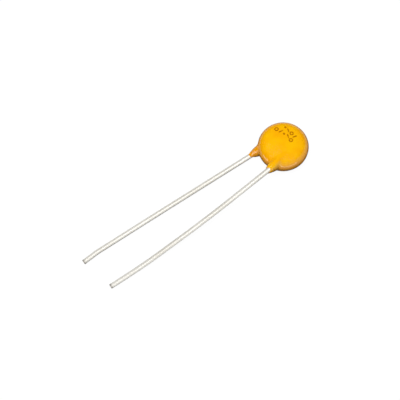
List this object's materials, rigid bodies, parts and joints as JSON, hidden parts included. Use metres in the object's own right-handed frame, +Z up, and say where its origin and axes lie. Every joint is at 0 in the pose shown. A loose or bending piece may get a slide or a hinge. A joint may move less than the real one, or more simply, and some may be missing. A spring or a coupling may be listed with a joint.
{
  "type": "varistor",
  "caption": "Disc varistor: a round ceramic disc dipped in yellow-orange epoxy, with radial wire leads, lying flat; it clamps voltage surges.",
  "frame": {"origin": "on the table, under the middle of the whole part's bounding box", "axes": "+X from the cut lead ends towards the disc, +Z up from the table, through the face that shows in the picture"},
  "size_m": [0.0415, 0.0084, 0.0037],
  "materials": {
    "epoxy_coat": "glossy dipped epoxy, yellow-orange",
    "sintered_ceramic": "dark grey sintered zinc oxide ceramic, matt",
    "fired_silver": "fired silver paste, dull",
    "tinned_wire": "bright tin plating on drawn wire",
    "solder": "solder, half bright"
  },
  "bodies": {
    "root": {"coating": "epoxy_coat", "ceramic_disc": "sintered_ceramic", "front_electrode": "fired_silver", "rear_electrode": "fired_silver", "front_lead": "tinned_wire", "rear_lead": "tinned_wire", "front_solder": "solder", "rear_solder": "solder"}
  },
  "joints": []
}
